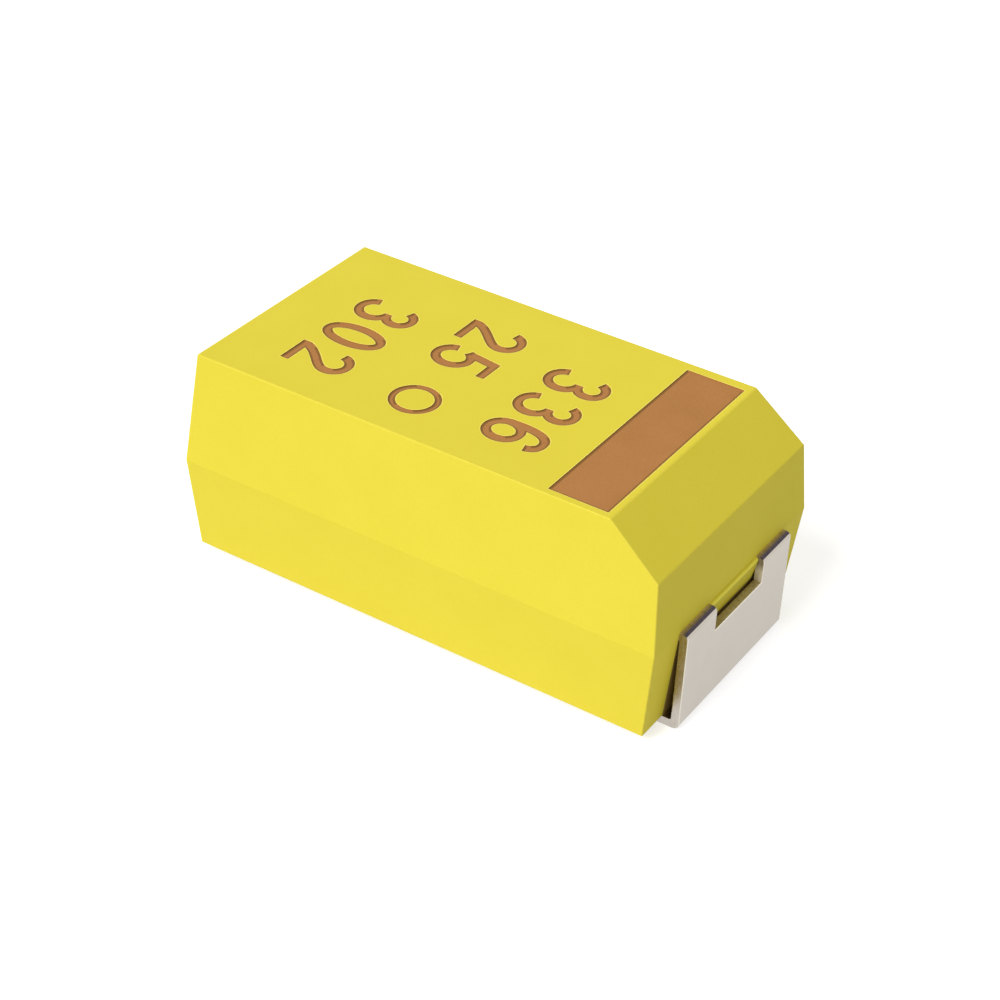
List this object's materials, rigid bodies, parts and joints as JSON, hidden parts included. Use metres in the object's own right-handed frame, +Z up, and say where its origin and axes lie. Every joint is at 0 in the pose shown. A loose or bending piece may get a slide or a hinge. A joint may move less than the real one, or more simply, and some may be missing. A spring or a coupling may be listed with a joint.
{
  "type": "moulded tantalum chip capacitor",
  "caption": "Moulded surface-mount tantalum capacitor: drafted epoxy case with polarity bevel and stripe, folded flat terminals, and a coated pellet on a lead frame inside.",
  "frame": {"origin": "middle of the seating plane, under the two feet", "axes": "+X along the case towards the bevelled anode end, +Z up from the board"},
  "size_m": [0.006, 0.0032, 0.0025],
  "materials": {
    "epoxy": "satin moulded epoxy",
    "tinned_strip": "satin tin plate",
    "sintered_tantalum": "porous sintered metal",
    "tantalum": "drawn wire",
    "ptfe": "waxy white",
    "manganese_dioxide": "matt black crust",
    "graphite": "matt dark grey paint",
    "silver_paint": "matt silver paint",
    "silver_glue": "matt silver-filled glue"
  },
  "bodies": {
    "root": {"moulded_case": "epoxy", "anode_terminal": "tinned_strip", "cathode_terminal": "tinned_strip", "tantalum_pellet": "sintered_tantalum", "tantalum_wire": "tantalum", "insulating_washer": "ptfe", "manganese_dioxide_coat": "manganese_dioxide", "graphite_coat": "graphite", "silver_coat": "silver_paint", "silver_adhesive": "silver_glue"}
  },
  "joints": []
}
